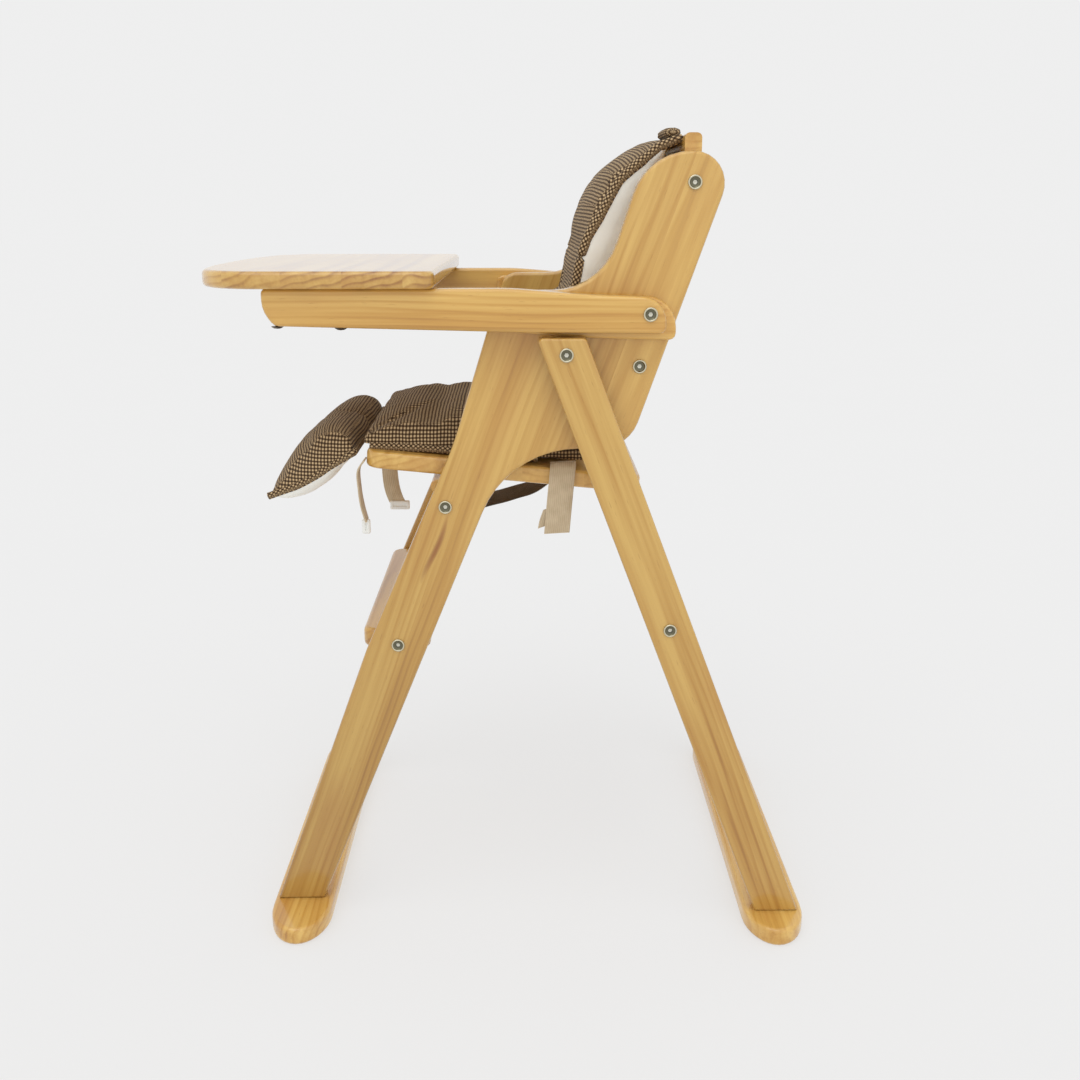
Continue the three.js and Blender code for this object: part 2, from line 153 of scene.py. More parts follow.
def pine(name, along, across, seed, plank=0.0, tone=1.0, shade_near_floor=1.0, coat=0.7, figure=0.38, streaks=()):
    """Lacquered pine: growth rings cut by the board's faces, fine fibres, and a clear glossy coat.

    plank is the width of the strips that a board is glued from, the low tone is painted shade that darkens
    the wood towards the floor, and a streak of resin is (y, z, half length, half width).
    """
    s = Shader(name, 0.36, Coat_Weight=coat, Coat_Roughness=0.12)
    along = Vector(along).normalized()
    across = Vector(across)
    across = (across - along * across.dot(along)).normalized()
    face = along.cross(across)
    place = s.node("TexCoord").outputs["Object"]
    u, v, w = (s.dot(place, direction) for direction in (along, across, face))

    def stretched(by_u, by_v, v_used, by_w=None):
        """Coordinates for noise that is drawn out along the grain, each scaled unless its factor is None."""
        lengthwise = u if by_u is None else s.math("MULTIPLY", u, by_u)
        through = w if by_w is None else s.math("MULTIPLY", w, by_w)
        return s.combine(lengthwise, s.math("MULTIPLY", v_used, by_v), through)

    rng = np.random.default_rng(seed)
    v0, w0, tilt = rng.uniform(-0.04, 0.04), rng.uniform(0.05, 0.09), rng.uniform(-0.05, 0.05)
    if plank:
        index = s.math("FLOOR", s.math("DIVIDE", s.math("ADD", v, 3 + v0), plank))
        rough = s.node("TexWhiteNoise", noise_dimensions="1D")
        s.put(rough.inputs["W"], index)
        shift = s.math("MULTIPLY_ADD", rough.outputs["Value"], 0.16, -0.08)
        v_in = s.math("ADD", v, shift)
    else:
        v_in = v
    slow = s.noise(stretched(2.2, 9.0, v_in), 1.0 + seed * 0.013, 2.0)
    wander = s.math("MULTIPLY_ADD", slow, 0.030, -0.015)
    from_heart_v = s.math("ADD", s.math("ADD", v_in, -v0), wander)
    from_heart_w = s.math("ADD", s.math("MULTIPLY_ADD", u, tilt, w), w0)
    square_w = s.math("MULTIPLY", from_heart_w, from_heart_w)
    square = s.math("MULTIPLY_ADD", from_heart_v, from_heart_v, square_w)
    uneven = s.noise(stretched(None, 26.0, v_in, 26.0), 1.0, 1.0)
    growth = s.math("MULTIPLY_ADD", uneven, 0.022, s.math("SQRT", square))
    ring = s.math("FRACT", s.math("DIVIDE", growth, RING_WIDTH))
    late = s.ramp(ring, [(position, (grey,) * 3) for position, grey in RING_PROFILE])
    fibre = s.noise(stretched(9.0, 420.0, v, 420.0), 1.0, 3.0, 0.6)
    cloud = s.noise(stretched(2.0, 55.0, v_in, 55.0), 1.0, 3.0, 0.55)
    shown = s.remap(s.noise(stretched(3.0, 16.0, v_in), 1.0, 1.0), 0.35, 0.65)
    late = s.math("MULTIPLY", late, s.math("MULTIPLY_ADD", shown, 0.75, 0.25))
    amount = s.math("MULTIPLY_ADD", late, figure, s.math("MULTIPLY_ADD", cloud, 1.35, -0.46))
    amount = s.math("MULTIPLY_ADD", s.math("SUBTRACT", fibre, 0.5), 0.38, amount)
    pale, honey, amber = (tuple(c * tone for c in colour) for colour in (PALE, HONEY, AMBER))
    colour = s.ramp(amount, [(0.0, pale), (0.48, honey), (1.0, amber)])
    broad = s.noise(stretched(5.0, 24.0, v_in, 24.0), 1.0, 2.0)
    colour = s.mix(s.remap(broad, 0.52, 0.72, 0.0, 0.42), colour, tuple(c * tone for c in ORANGE))
    pores = s.noise(stretched(60.0, 900.0, v, 900.0), 1.0, 1.0)
    colour = s.mix(s.remap(pores, 0.70, 0.78, 0.0, 0.45), colour, amber)
    if plank:
        lighter = s.math("MULTIPLY", rough.outputs["Value"], 0.35)
        colour = s.mix(lighter, colour, tuple(min(1.0, c * 1.12) for c in pale))
    for y, z, length, width in streaks:
        centre = Vector((0, y, z))
        du = s.math("DIVIDE", s.math("ADD", u, -centre.dot(along)), length)
        wave = s.math("SINE", s.math("MULTIPLY", u, 55.0))
        bend = s.math("MULTIPLY_ADD", wave, 0.0025, -centre.dot(across))
        dv = s.math("DIVIDE", s.math("ADD", v, bend), width)
        far = s.math("MULTIPLY_ADD", du, du, s.math("MULTIPLY", dv, dv))
        colour = s.mix(s.remap(far, 1.0, 0.0, 0.0, 0.8), colour, RESIN_BROWN)
    # painted shade: the wood is darkened towards the floor, where less light reaches it
    if shade_near_floor < 1:
        height = s.node("SeparateXYZ", place).outputs[2]
        shade = s.remap(height, 0.15, 0.62, 0.0, 1.0)
        dimmed = (shade_near_floor, shade_near_floor * 0.97, shade_near_floor * 0.92)
        darker = s.node("VectorMath", colour, dimmed, operation="MULTIPLY").outputs[0]
        colour = s.mix(shade, darker, colour)
    s.colour(colour)
    s.bump(s.math("MULTIPLY_ADD", late, -0.5, fibre), 0.00012, 0.5)
    return s.material


ACROSS = (1, 0, 0)
UP = (0, 0, 1)
FORE = (0, 1, 0)
LEAN = (0, 0.36, 1)
LEG = (0, 0.3835, -1)
RESIN = (*side([(-108, 470)])[0], 0.045, 0.0042)
PANEL = {"plank": 0.115, "tone": 0.94, "shade_near_floor": 0.74}

WOOD = {
    "side_panel_left": pine("pine_panel_left", LEAN, FORE, 1, **PANEL, streaks=[RESIN]),
    "side_panel_right": pine("pine_panel_right", LEAN, FORE, 2, **PANEL),
    "front_floor_bar": pine("pine_front_bar", ACROSS, FORE, 3),
    "rear_floor_bar": pine("pine_rear_bar", ACROSS, FORE, 4),
    "rear_cross_rail": pine("pine_rear_rail", ACROSS, UP, 5),
    "seat_board": pine("pine_seat", ACROSS, FORE, 6, plank=0.07),
    "seat_front_rail": pine("pine_seat_rail", ACROSS, UP, 7),
    "footrest": pine("pine_footrest", ACROSS, FORE, 8, tone=0.93),
    "back_board_upper": pine("pine_back_upper", ACROSS, UP, 9),
    "back_board_lower": pine("pine_back_lower", ACROSS, UP, 10),
    "rear_leg_left": pine("pine_leg_left", LEG, FORE, 11, tone=0.90, shade_near_floor=0.90),
    "rear_leg_right": pine("pine_leg_right", LEG, FORE, 12, tone=0.90, shade_near_floor=0.90),
    "armrest_rail_left": pine("pine_rail_left", FORE, UP, 13, tone=1.08),
    "armrest_rail_right": pine("pine_rail_right", FORE, UP, 14, tone=1.08),
    "tray_arm_left": pine("pine_arm_left", FORE, UP, 15, tone=1.05),
    "tray_arm_right": pine("pine_arm_right", FORE, UP, 16, tone=1.05),
    "tray": pine("pine_tray", ACROSS, FORE, 17, plank=0.062, tone=0.92, coat=1.0, figure=0.75),
}


def own_copy(node, name):
    """A piece with the node's shape, its doubled corners joined, that stands for it."""
    source = frame["nodes"][node]
    piece = bpy.data.objects.new(name, source.data.copy())
    bpy.context.scene.collection.objects.link(piece)
    work = bmesh.new()
    work.from_mesh(piece.data)
    bmesh.ops.remove_doubles(work, verts=work.verts, dist=1e-5)
    bmesh.ops.dissolve_limit(work, angle_limit=math.radians(0.4), verts=work.verts, edges=work.edges)
    work.to_mesh(piece.data)
    work.free()
    return finish_piece(piece, BODY_OF[node], node)


def finish_piece(piece, body, *nodes):
    """Lets the piece ride on its body and stand for its nodes."""
    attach(piece, body)
    if nodes:
        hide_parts(*nodes)
    return piece


def object_from(work, name):
    """The finished bmesh as an object in the scene."""
    mesh = bpy.data.meshes.new(name)
    work.to_mesh(mesh)
    work.free()
    made = bpy.data.objects.new(name, mesh)
    bpy.context.scene.collection.objects.link(made)
    return made


def join_rings(work, rings):
    """Skins rings of vertices into a closed tube."""
    count = len(rings[0])
    for one, two in zip(rings, rings[1:]):
        for k in range(count):
            work.faces.new((one[k], one[(k + 1) % count], two[(k + 1) % count], two[k]))
    work.faces.new(rings[0][::-1])
    work.faces.new(rings[-1])
    bmesh.ops.recalc_face_normals(work, faces=work.faces)


def smooth(piece, degrees=180.0):
    piece.data.shade_smooth()
    if degrees < 180:
        piece.data.set_sharp_from_angle(angle=math.radians(degrees))
    return piece


def dress(piece, *materials):
    if piece.data.materials:
        piece.data.materials.clear()
    for material in materials:
        piece.data.materials.append(material)
    return piece


for node, material in WOOD.items():
    board = smooth(own_copy(node, node + "_wood"), 50)
    dress(board, material)
    weighted = board.modifiers.new("even_shading", "WEIGHTED_NORMAL")
    weighted.keep_sharp = True
    weighted.weight = 95

# ---------------------------------------------------------------- metal and plastic


def plain(name, colour, roughness, speckle=0.06, grain=900.0, **fixed):
    """Metal or moulded plastic: one colour with a fine unevenness in tone and surface."""
    s = Shader(name, roughness, **fixed)
    place = s.node("TexCoord").outputs["Object"]
    tone = s.remap(s.noise(place, grain, 3.0), 0.3, 0.7, 1 - speckle, 1 + speckle)
    parts = [s.math("MULTIPLY", tone, c) for c in colour]
    made = s.node("CombineColor", *parts)
    s.colour(made.outputs[0])
    s.bump(s.noise(place, grain * 0.6, 2.0), 0.00003, 0.4)
    return s.material


NICKEL = plain("bolt_nickel", (0.62, 0.57, 0.42), 0.22, Metallic=1.0)
# painted reflection: the dish is coloured dark, standing in for the dark surroundings it reflects
DISH_PAINTED_REFLECTION = plain("bolt_dish_painted_reflection", (0.16, 0.15, 0.10), 0.28, Metallic=1.0)
# painted shade: the hexagon socket is coloured near black for the shade inside the recess
SOCKET_PAINTED_SHADE = plain("bolt_socket", (0.05, 0.05, 0.04), 0.35, Metallic=0.6)
# painted highlight: a bright disc at the socket's floor stands in for a glint
GLINT = plain("bolt_socket_painted_glint", (0.62, 0.60, 0.50), 0.2, Metallic=1.0)
DARK_SCREW = plain("screw_dark", (0.10, 0.075, 0.05), 0.38, Metallic=0.8)
NYLON = plain("nylon", (0.70, 0.68, 0.62), 0.5)
WHITE_PLASTIC = plain("white_plastic", (0.84, 0.84, 0.80), 0.32, Coat_Weight=0.2)

HEAD_HEIGHT = 0.002
HEAD_SIDES = 36
# materials: 0 nickel, 1 dish with a painted dark reflection, 2 socket with painted shade, 3 socket floor
# with a painted glint
HEAD_RINGS = [  # radius, height above the face, share of the way from round to hexagon, material
    (0.0030, -0.0460, 0.0, 0),
    (0.0030, 0.0000, 0.0, 0),
    (0.0074, 0.0000, 0.0, 0),
    (0.0076, 0.0006, 0.0, 0),
    (0.0075, 0.0014, 0.0, 0),
    (0.0070, 0.0019, 0.0, 0),
    (0.0064, 0.0020, 0.0, 0),
    (0.0058, 0.0017, 0.0, 0),
    (0.0052, 0.0008, 0.0, 1),
    (0.0040, 0.0004, 0.0, 1),
    (0.0029, 0.0004, 0.6, 1),
    (0.0026, 0.0002, 1.0, 2),
    (0.0025, -0.0016, 1.0, 2),
    (0.0010, -0.0019, 0.5, 3),
]


def bolt(node):
    """A cup-headed bolt with a rolled rim, a dish and a hexagon socket; the dish carries a painted dark
    reflection, the socket painted shade and its floor a painted glint.
    """
    low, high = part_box(node)
    outward = 1 if low.x > 0 else -1
    face = (high.x if outward > 0 else -low.x) - HEAD_HEIGHT
    centre_y, centre_z = (low.y + high.y) / 2, (low.z + high.z) / 2
    work = bmesh.new()
    rings = []
    for radius, height, hexagon, _ in HEAD_RINGS:
        ring = []
        for k in range(HEAD_SIDES):
            angle = 2 * math.pi * k / HEAD_SIDES
            flat = math.cos(math.radians(30)) / math.cos((angle % math.radians(60)) - math.radians(30))
            r = radius * (1 + hexagon * (flat - 1))
            x = outward * (face + height)
            point = (x, centre_y + r * math.cos(angle), centre_z + r * math.sin(angle))
            ring.append(work.verts.new(point))
        rings.append(ring)
    for (lower, upper), (_, _, _, material) in zip(zip(rings, rings[1:]), HEAD_RINGS[1:]):
        for k in range(HEAD_SIDES):
            after = (k + 1) % HEAD_SIDES
            quad = work.faces.new((lower[k], lower[after], upper[after], upper[k]))
            quad.material_index = material
            quad.smooth = True
    work.faces.new(rings[0])
    work.faces.new(rings[-1]).material_index = 3
    bmesh.ops.recalc_face_normals(work, faces=work.faces)
    piece = object_from(work, node + "_head")
    piece.data.set_sharp_from_angle(angle=math.radians(50))
    dress(piece, NICKEL, DISH_PAINTED_REFLECTION, SOCKET_PAINTED_SHADE, GLINT)
    finish_piece(piece, BODY_OF[node], node)


for node in frame["nodes"]:
    if "_bolt_" in node:
        bolt(node)
    elif "screw" in node:
        screw = dress(smooth(own_copy(node, node + "_dark"), 40), DARK_SCREW)
    elif "spacer" in node or "bush" in node:
        ring = dress(smooth(own_copy(node, node + "_nylon"), 40), NYLON)

# ---------------------------------------------------------------- cloth materials

CREAM_THREAD = (0.60, 0.44, 0.25)
BROWN_THREAD = (0.028, 0.016, 0.009)
MIXED_THREAD = (0.130, 0.078, 0.038)
FUZZ = (0.36, 0.25, 0.14)
CHECK_PITCH = 0.0039
RIB_PITCH = 0.0011
CORD_PITCH = 0.0022


def check_fabric(name, grain=0.0):
    """Woven brown and cream gingham. Its lines follow the cloth's own lengths, kept in an attribute."""
    s = Shader(name, 0.95, Sheen_Weight=0.06, Sheen_Roughness=0.5, Specular_IOR_Level=0.2)
    cloth = s.node("Attribute", attribute_name="cloth").outputs["Vector"]
    split = s.node("SeparateXYZ", cloth)
    a, b, _ = split.outputs
    wobble = s.noise(cloth, 60.0, 2.0)
    shift = s.math("MULTIPLY_ADD", wobble, 0.0016, -0.0008)
    threads = []
    for turn_a, turn_b in ((math.cos(grain), math.sin(grain)), (-math.sin(grain), math.cos(grain))):
        along = s.math("ADD", s.math("MULTIPLY", a, turn_a), s.math("MULTIPLY", b, turn_b))
        phase = s.math("FRACT", s.math("DIVIDE", s.math("ADD", along, shift), CHECK_PITCH))
        threads.append(s.remap(s.math("ABSOLUTE", s.math("SUBTRACT", phase, 0.5)), 0.22, 0.28))
    total = s.math("MULTIPLY", s.math("ADD", *threads), 0.5)
    colour = s.ramp(total, [(0.0, CREAM_THREAD), (0.5, MIXED_THREAD), (1.0, BROWN_THREAD)])
    fuzz = s.remap(s.noise(cloth, 1500.0, 2.0), 0.3, 0.7, 0.0, 0.08)
    s.colour(s.mix(fuzz, colour, FUZZ))
    weave = s.math("ADD", s.noise(cloth, 2600.0, 1.0), s.math("MULTIPLY", s.noise(cloth, 240.0, 2.0), 0.8))
    s.bump(weave, 0.00025, 0.7)
    return s.material


def cotton(name, colour):
    """Plain soft cotton with a fine weave and shallow creases."""
    s = Shader(name, 0.9, Sheen_Weight=0.2, Sheen_Roughness=0.5)
    place = s.node("TexCoord").outputs["Object"]
    tone = s.remap(s.noise(place, 35.0, 3.0), 0.3, 0.7, 0.0, 0.35)
    s.colour(s.mix(tone, colour, tuple(c * 0.93 for c in colour)))
    s.bump(s.math("ADD", s.noise(place, 1800.0, 1.0), s.noise(place, 130.0, 3.0)), 0.0004, 0.6)
    return s.material


def webbing(name, light, dark):
    """Flat strap: ribs along and across it from the strap's own lengths."""
    s = Shader(name, 0.85, Sheen_Weight=0.2, Sheen_Roughness=0.4)
    split = s.node("SeparateXYZ", s.node("Attribute", attribute_name="cloth").outputs["Vector"])
    ribs = s.math("SINE", s.math("MULTIPLY", split.outputs[1], 2 * math.pi / RIB_PITCH))
    cords = s.math("SINE", s.math("MULTIPLY", split.outputs[0], 2 * math.pi / CORD_PITCH))
    height = s.math("MULTIPLY_ADD", ribs, 0.5, cords)
    place = s.node("TexCoord").outputs["Object"]
    patch = s.remap(s.noise(place, 90.0, 3.0), 0.3, 0.7, -0.15, 0.25)
    s.colour(s.mix(s.math("MULTIPLY_ADD", height, 0.16, s.math("ADD", patch, 0.35)), light, dark))
    s.bump(height, 0.0002, 0.6)
    return s.material


CHECK = check_fabric("check_fabric")
BIAS_CHECK = check_fabric("check_fabric_bias", grain=math.radians(45))
CREAM = cotton("cream_cotton", (0.97, 0.98, 0.93))
BEIGE_WEB = webbing("beige_webbing", (0.66, 0.54, 0.37), (0.42, 0.31, 0.18))
DARK_WEB = webbing("dark_webbing", (0.115, 0.085, 0.055), (0.035, 0.026, 0.018))

# ---------------------------------------------------------------- cushion

OUTLINE_STEP = 0.008
SEAM_STEP = 0.006
STATIONS = 45
SEWN_REACH = 0.006  # cloth this near the seam line is held while the pad swells
END_REACH = 0.014  # and only this near the pad's two ends
VOXEL = 0.0052
PRESSURE = 4.0
LAST_FRAME = 20
SIDE_ON = 0.42  # from this share of sideways slope on, the cloth's pattern lies flat to the side view


def resampled(points, step, closed=False):
    """The same line through [y, z] points at even steps."""
    line = np.array(list(points) + ([points[0]] if closed else []), float)
    lengths = np.concatenate([[0], np.cumsum(np.linalg.norm(np.diff(line, axis=0), axis=1))])
    count = max(2, int(round(lengths[-1] / step)))
    at = np.linspace(0, lengths[-1], count + 1)
    even = np.stack([np.interp(at, lengths, line[:, i]) for i in range(2)], 1)
    return even[:-1] if closed else even


def feet(points, line):
    """The closest place on each segment of the line to each [y, z] point, and its share of the segment."""
    a, d = line[:-1], np.diff(line, axis=0)
    along = np.clip(np.einsum("pki,ki->pk", points[:, None] - a, d) / (d**2).sum(1), 0, 1)
    return along, a + along[..., None] * d


def nearest(points, line):
    """The line's closest place to each [y, z] point, the distance to it, and the line's length up to it."""
    along, foot = feet(points, line)
    gap = np.linalg.norm(points[:, None] - foot, axis=2)
    best = gap.argmin(1)
    rows = np.arange(len(points))
    lengths = np.linalg.norm(np.diff(line, axis=0), axis=1)
    start = np.concatenate([[0], np.cumsum(lengths)])
    reach = start[best] + along[rows, best] * lengths[best]
    return foot[rows, best], gap[rows, best], reach


def behind_seam(points, seam):
    """True where a [y, z] point lies to the right of the seam line, walked from its first point."""
    _, foot = feet(points, seam)
    best = np.linalg.norm(points[:, None] - foot, axis=2).argmin(1)
    d = np.diff(seam, axis=0)[best]
    offset = points - seam[:-1][best]
    return d[:, 0] * offset[:, 1] - d[:, 1] * offset[:, 0] < 0


def lofted(name, outline, seam, half_width, end_share, shoulder):
    """A closed pad: the outline carried across the chair, drawn in towards its seam line near both ends."""
    ring = resampled(outline, OUTLINE_STEP, closed=True)
    foot, _, _ = nearest(ring, seam)
    stations = np.linspace(-half_width, half_width, STATIONS)
    work = bmesh.new()
    loops = []
    for x in stations:
        t = max(0.0, (abs(x) - half_width + shoulder) / shoulder)
        share = end_share + (1 - end_share) * math.sqrt(max(0.0, 1 - t * t))
        loops.append([work.verts.new((x, *point)) for point in foot + (ring - foot) * share])
    join_rings(work, loops)
    return object_from(work, name)


def baked(pad):
    """The pad with what its modifiers made applied to its mesh."""
    depsgraph = bpy.context.evaluated_depsgraph_get()
    mesh = bpy.data.meshes.new_from_object(pad.evaluated_get(depsgraph))
    pad.modifiers.clear()
    pad.data = mesh
    return pad


def read_vectors(collection, key):
    found = np.zeros(len(collection) * 3, np.float32)
    collection.foreach_get(key, found)
    return found.reshape(-1, 3).astype(float)


def points_of(mesh):
    return read_vectors(mesh.vertices, "co")


def normals_of(mesh):
    return read_vectors(mesh.vertex_normals, "vector")


def move(mesh, points):
    mesh.vertices.foreach_set("co", points.astype(np.float32).ravel())
    mesh.update()


def inflate(pad, pinned, cap):
    """Swells the pad as a sewn cover filled from inside, held along its seams, and no further than cap."""
    group = pad.vertex_groups.new(name="held")
    group.add([int(i) for i in np.nonzero(pinned)[0]], 1.0, "REPLACE")
    cloth = pad.modifiers.new("cloth", "CLOTH")
    settings = cloth.settings
    settings.quality = 6
    settings.mass = 0.25
    settings.tension_stiffness = 12
    settings.compression_stiffness = 4
    settings.shear_stiffness = 4
    settings.bending_stiffness = 0.25
    settings.use_pressure = True
    settings.uniform_pressure_force = PRESSURE
    settings.effector_weights.gravity = 0
    settings.vertex_group_mass = "held"
    cloth.collision_settings.use_collision = False
    cloth.point_cache.frame_end = 24
    rest = points_of(pad.data)
    scene = bpy.context.scene
    for number in range(1, LAST_FRAME + 1):
        scene.frame_set(number)
    swollen = points_of(baked(pad).data)
    scene.frame_set(1)
    pad.vertex_groups.clear()
    push = swollen - rest
    length = np.linalg.norm(push, axis=1, keepdims=True)
    move(pad.data, rest + push * np.minimum(1, cap / np.maximum(length, 1e-9)))


def crumple(points, normals, seam_gap, size, depth, folds):
    """Soft waves over the cloth, short puckers that run in from the seam, and the deeper folds across it."""
    out = points.copy()
    for y, z, hollow, width in folds:
        centre = np.array(side([(y, z)])[0])
        sway = 0.004 * np.sin(points[:, 0] * 38)
        gap = np.hypot(points[:, 1] - centre[0] - sway, points[:, 2] - centre[1])
        fade = np.clip(seam_gap / 0.03 - 0.3, 0, 1)
        out -= normals * (hollow * fade * np.exp(-((gap / width) ** 2)))[:, None]
    for i, (p, n) in enumerate(zip(points, normals)):
        near = math.exp(-seam_gap[i] / 0.018)
        fold = noise.noise(Vector((p[0] * size, p[1] * size * 0.8, p[2] * size * 0.8)))
        across = Vector((p[0] * size * 0.7 + 9, p[1] * size * 1.3, p[2] * size * 1.3 + 4))
        ridge = 1 - abs(noise.noise(across)) * 2
        pucker = noise.noise(Vector((p[0] * 75, p[1] * 75, p[2] * 75 + 3)))
        crease = 0.5 * min(0.0, -(ridge**5) * 0.8)
        out[i] += n * (depth * (0.6 * fold + crease) + 0.0013 * near * pucker)
    return out


def bound_edge(name, path, radius=0.0052):
    """A rolled bias binding along an open path of points."""
    path = [Vector(p) for p in path]
    work = bmesh.new()
    cloth = work.verts.layers.float_vector.new("cloth")
    rings = []
    sides = 10
    travelled = 0.0
    for i, point in enumerate(path):
        tangent = (path[min(i + 1, len(path) - 1)] - path[max(i - 1, 0)]).normalized()
        right = tangent.cross(Vector((0, 0.3, 1))).normalized()
        upward = right.cross(tangent)
        if i:
            travelled += (point - path[i - 1]).length
        plump = radius * (1 + 0.08 * noise.noise(point * 90))
        ring = []
        for k in range(sides):
            angle = 2 * math.pi * k / sides
            vertex = work.verts.new(point + (right * math.cos(angle) + upward * math.sin(angle)) * plump)
            vertex[cloth] = (travelled, radius * angle, 0)
            ring.append(vertex)
        rings.append(ring)
    join_rings(work, rings)
    piece = object_from(work, name)
    smooth(dress(piece, BIAS_CHECK))
    finish_piece(piece, "frame")


def cushion(node, outline, seam, half_width, end_share, shoulder, folds, cap, wrinkle, limits):
    """One part of the cushion: check cloth ahead of and above the seam line, cream cotton behind it."""
    name = node + "_padded"
    outline = np.array(side(outline))
    pad = lofted(name, outline, seam, half_width, end_share, shoulder)
    remesh = pad.modifiers.new("even_mesh", "REMESH")
    remesh.mode = "VOXEL"
    remesh.voxel_size = VOXEL
    baked(pad)
    points = points_of(pad.data)
    _, gap, _ = nearest(points[:, 1:], seam)
    at_end = np.abs(points[:, 0]) > half_width - END_REACH
    pinned = (gap < SEWN_REACH) & at_end
    inflate(pad, pinned, cap)
    mesh = pad.data
    points = points_of(mesh)
    _, gap, _ = nearest(points[:, 1:], seam)
    edge_gap = np.hypot(gap, np.maximum(0, half_width - np.abs(points[:, 0])))
    points = limits(crumple(points, normals_of(mesh), edge_gap, *wrinkle, folds))
    move(mesh, points)
    divide = pad.modifiers.new("finer", "SUBSURF")
    divide.levels = divide.render_levels = 1
    baked(pad)
    mesh = pad.data
    points = points_of(mesh)
    closed = np.concatenate([outline, outline[:1]])
    _, drop, reach = nearest(points[:, 1:], closed)
    across = points[:, 0] + np.sign(points[:, 0]) * drop
    flat = np.stack([across, reach, np.zeros(len(points))], 1)
    upright = points[:, [1, 2, 0]]
    owner = np.zeros(len(mesh.loops), np.int32)
    mesh.loops.foreach_get("vertex_index", owner)
    turned = np.concatenate([[abs(f.normal.x) > SIDE_ON] * f.loop_total for f in mesh.polygons])
    laid = np.where(turned[:, None], upright[owner], flat[owner])
    layer = mesh.attributes.new("cloth", "FLOAT_VECTOR", "CORNER")
    layer.data.foreach_set("vector", laid.astype(np.float32).ravel())
    centres = np.array([polygon.center for polygon in mesh.polygons])
    behind = behind_seam(centres[:, 1:], seam)
    mesh.polygons.foreach_set("material_index", behind.astype(np.int32))
    smooth(dress(pad, CHECK, CREAM))
    finish_piece(pad, "frame", node)
    return pad


def rim(pad, seam, first=0.0, last=1.0, inward=0.0015, over_top=True):
    """The path of the binding: up one side of the pad along its seam, across, and down the other side."""
    line = resampled(seam, SEAM_STEP)
    line = line[int(first * len(line)) : max(2, int(last * len(line)))]
    points = points_of(pad.data)
    halves = {}
    for sign in (1, -1):
        chosen = points[points[:, 0] * sign > 0]
        outer = []
        for p in line:
            close = chosen[np.linalg.norm(chosen[:, 1:] - p, axis=1) < 0.010]
            outer.append(np.abs(close[:, 0]).max() if len(close) else 0.15)
        outer = np.convolve(np.pad(outer, 7, mode="edge"), np.ones(15) / 15, mode="valid")
        halves[sign] = [(sign * (x - inward), *p) for x, p in zip(outer, line)]
    if not over_top:
        return halves[1], halves[-1]
    corner = halves[1][-1], halves[-1][-1]
    bridge = [tuple(Vector(corner[0]).lerp(Vector(corner[1]), k / 40)) for k in range(1, 40)]
    return halves[1] + bridge + halves[-1][::-1]


SEAT_TILT = math.radians(5.6)
SEAT_TOP = 0.5790  # the seat board's upper face at SEAT_FRONT
SEAT_FRONT = -0.185 + SHIFT


def on_seat(points):
    """Keeps the pad on top of the seat board and between the side panels."""
    board = SEAT_TOP - (points[:, 1] - SEAT_FRONT) * math.tan(SEAT_TILT)
    points[:, 2] = np.maximum(points[:, 2], board)
    points[:, 0] = np.clip(points[:, 0], -0.166, 0.166)
    points[:, 1] = np.maximum(points[:, 1], -0.1985 + SHIFT)
    return points


def between_panels(points):
    """Keeps the pad between the side panels and ahead of the back boards."""
    points[:, 0] = np.clip(points[:, 0], -0.167, 0.167)
    upper = points[:, 2] > 0.80
    points[upper, 1] = np.minimum(points[upper, 1], 0.1615 + SHIFT)
    lower = ~upper
    rear = np.interp(points[lower, 2], [0.60, 0.72, 0.80], [0.082 + SHIFT, 0.118 + SHIFT, 0.140 + SHIFT])
    points[lower, 1] = np.minimum(points[lower, 1], rear)
    return points


def clear_of_seat(points):
    """Keeps the flap ahead of the seat board's front edge."""
    points[:, 1] = np.minimum(points[:, 1], -0.1995 + SHIFT)
    return points


SEAT_SEAM = np.array(side([(-200, 580.5), (-120, 577), (80, 559)]))
BACK_SEAM = np.array(side([
    (-40, 634), (20, 680), (43, 730), (51, 765), (55, 787), (63, 810),
    (74, 827), (86, 850), (96, 868), (113, 882), (138, 902), (159, 910),
]))
FLAP_SEAM = np.array(side([(-301, 521), (-270, 532), (-248, 543), (-225, 558), (-201, 572)]))

seat_pad = cushion(
    "seat_cushion",
    [(-192, 582), (70, 559), (70, 590), (-60, 612), (-100, 614), (-130, 614), (-165, 611), (-188, 601)],
    SEAT_SEAM,
    0.150,
    0.30,
    0.06,
    [(-108, 622, 0.006, 0.014), (-192, 590, 0.004, 0.008)],
    0.010,
    (22, 0.0032),
    on_seat,
)
back_pad = cushion(
    "back_cushion",
    [
        (-66, 636), (84, 608), (118, 720), (144, 842), (151, 916),
        (120, 906), (82, 882), (60, 846), (42, 745), (-40, 688),
    ],
    BACK_SEAM,
    0.152,
    0.28,
    0.14,
    [(46, 802, 0.004, 0.014), (36, 757, 0.005, 0.010)],
    0.015,
    (18, 0.0032),
    between_panels,
)
flap_pad = cushion(
    "leg_flap_cushion",
    [
        (-203, 569), (-205, 594), (-222, 601), (-238, 598), (-257, 587), (-273, 569), (-290, 545),
        (-302, 526), (-297, 516), (-278, 509), (-257, 517), (-233, 534),
    ],
    FLAP_SEAM,
    0.150,
    0.16,
    0.06,
    [(-262, 585, 0.003, 0.012)],
    0.008,
    (22, 0.0030),
    clear_of_seat,
)

bound_edge("back_binding", rim(back_pad, BACK_SEAM))
bound_edge("flap_binding", rim(flap_pad, FLAP_SEAM), 0.0042)
for label, path in zip(("left", "right"), rim(seat_pad, SEAT_SEAM, 0.07, 0.75, over_top=False)):
    bound_edge("seat_binding_" + label, path, 0.0046)

# ---------------------------------------------------------------- straps


